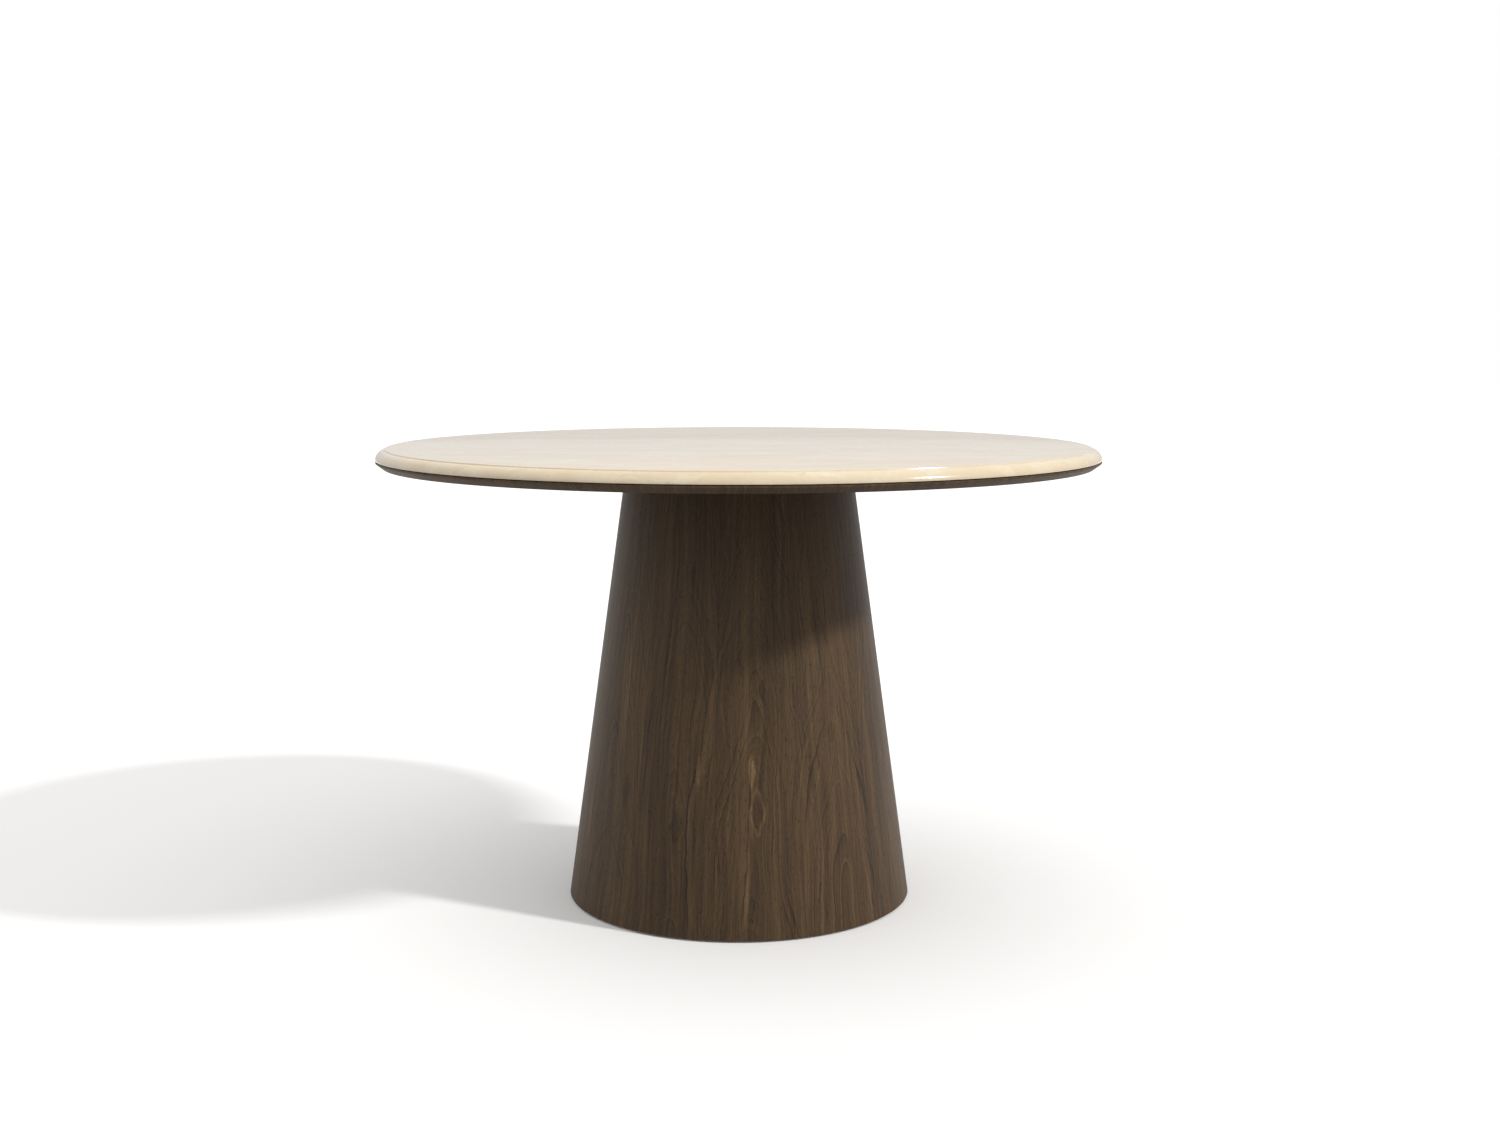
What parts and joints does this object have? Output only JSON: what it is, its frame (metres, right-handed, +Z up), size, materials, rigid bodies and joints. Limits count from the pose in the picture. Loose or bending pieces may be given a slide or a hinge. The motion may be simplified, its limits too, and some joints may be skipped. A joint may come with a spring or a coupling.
{
  "type": "round pedestal table",
  "caption": "Round dining table: thin stone top on a bevelled walnut sub-top, on a hollow walnut-veneered cone pedestal with screw-down levelling feet.",
  "frame": {"origin": "on the floor, under the middle of the table", "axes": "+Z up; the table is round, so X and Y are level and otherwise free"},
  "size_m": [1.2192, 1.2192, 0.762],
  "materials": {
    "stone": "polished",
    "walnut": "matte lacquer",
    "fibreboard": "raw",
    "plywood": "raw",
    "silicone": "clear satin",
    "zinc": "zinc plated",
    "brass": "turned",
    "nylon": "matte"
  },
  "bodies": {
    "table": {"stone_top": "stone", "stone_pad_1": "silicone", "stone_pad_2": "silicone", "stone_pad_3": "silicone", "stone_pad_4": "silicone", "stone_pad_5": "silicone", "stone_pad_6": "silicone", "stone_pad_7": "silicone", "stone_pad_8": "silicone", "subtop_core": "fibreboard", "subtop_edge_veneer": "walnut", "subtop_underside_veneer": "walnut", "cone_veneer": "walnut", "mount_disc": "plywood", "head_plate": "plywood", "cone_shell": "plywood", "mid_ring": "plywood", "base_ring": "plywood", "rib_1": "plywood", "rib_2": "plywood", "rib_3": "plywood", "rib_4": "plywood", "rib_5": "plywood", "rib_6": "plywood", "rib_7": "plywood", "rib_8": "plywood", "disc_screw_1": "zinc", "disc_screw_2": "zinc", "disc_screw_3": "zinc", "disc_screw_4": "zinc", "disc_screw_5": "zinc", "disc_screw_6": "zinc", "disc_screw_7": "zinc", "disc_screw_8": "zinc", "bolt_washer_1": "zinc", "bolt_washer_2": "zinc", "bolt_washer_3": "zinc", "bolt_washer_4": "zinc", "top_bolt_1": "zinc", "top_bolt_2": "zinc", "top_bolt_3": "zinc", "top_bolt_4": "zinc", "foot_socket_1": "zinc", "foot_socket_2": "zinc", "foot_socket_3": "zinc", "foot_socket_4": "zinc", "threaded_insert_1": "brass", "threaded_insert_2": "brass", "threaded_insert_3": "brass", "threaded_insert_4": "brass"},
    "foot_1_pad": {"foot_pad_1": "nylon"},
    "foot_1_stem": {"foot_stem_1": "zinc"},
    "foot_2_pad": {"foot_pad_2": "nylon"},
    "foot_2_stem": {"foot_stem_2": "zinc"},
    "foot_3_pad": {"foot_pad_3": "nylon"},
    "foot_3_stem": {"foot_stem_3": "zinc"},
    "foot_4_pad": {"foot_pad_4": "nylon"},
    "foot_4_stem": {"foot_stem_4": "zinc"}
  },
  "joints": [
    {"name": "foot_1_height", "type": "slide", "parent": "table", "child": "foot_1_pad", "axis": [0, 0, -1], "range_m": [0, 0.012]},
    {"name": "foot_1_turn", "type": "hinge", "parent": "foot_1_pad", "child": "foot_1_stem", "pos_m": [0.16405, 0.16405, 0], "axis": [0, 0, -1], "range_deg": [0, 3456]},
    {"name": "foot_2_height", "type": "slide", "parent": "table", "child": "foot_2_pad", "axis": [0, 0, -1], "range_m": [0, 0.012]},
    {"name": "foot_2_turn", "type": "hinge", "parent": "foot_2_pad", "child": "foot_2_stem", "pos_m": [-0.16405, 0.16405, 0], "axis": [0, 0, -1], "range_deg": [0, 3456]},
    {"name": "foot_3_height", "type": "slide", "parent": "table", "child": "foot_3_pad", "axis": [0, 0, -1], "range_m": [0, 0.012]},
    {"name": "foot_3_turn", "type": "hinge", "parent": "foot_3_pad", "child": "foot_3_stem", "pos_m": [-0.16405, -0.16405, 0], "axis": [0, 0, -1], "range_deg": [0, 3456]},
    {"name": "foot_4_height", "type": "slide", "parent": "table", "child": "foot_4_pad", "axis": [0, 0, -1], "range_m": [0, 0.012]},
    {"name": "foot_4_turn", "type": "hinge", "parent": "foot_4_pad", "child": "foot_4_stem", "pos_m": [0.16405, -0.16405, 0], "axis": [0, 0, -1], "range_deg": [0, 3456]}
  ],
  "couplings": [
    {"joint": "foot_1_height", "follows": "foot_1_turn", "m_per_rad": 0.00019894},
    {"joint": "foot_2_height", "follows": "foot_2_turn", "m_per_rad": 0.00019894},
    {"joint": "foot_3_height", "follows": "foot_3_turn", "m_per_rad": 0.00019894},
    {"joint": "foot_4_height", "follows": "foot_4_turn", "m_per_rad": 0.00019894}
  ]
}
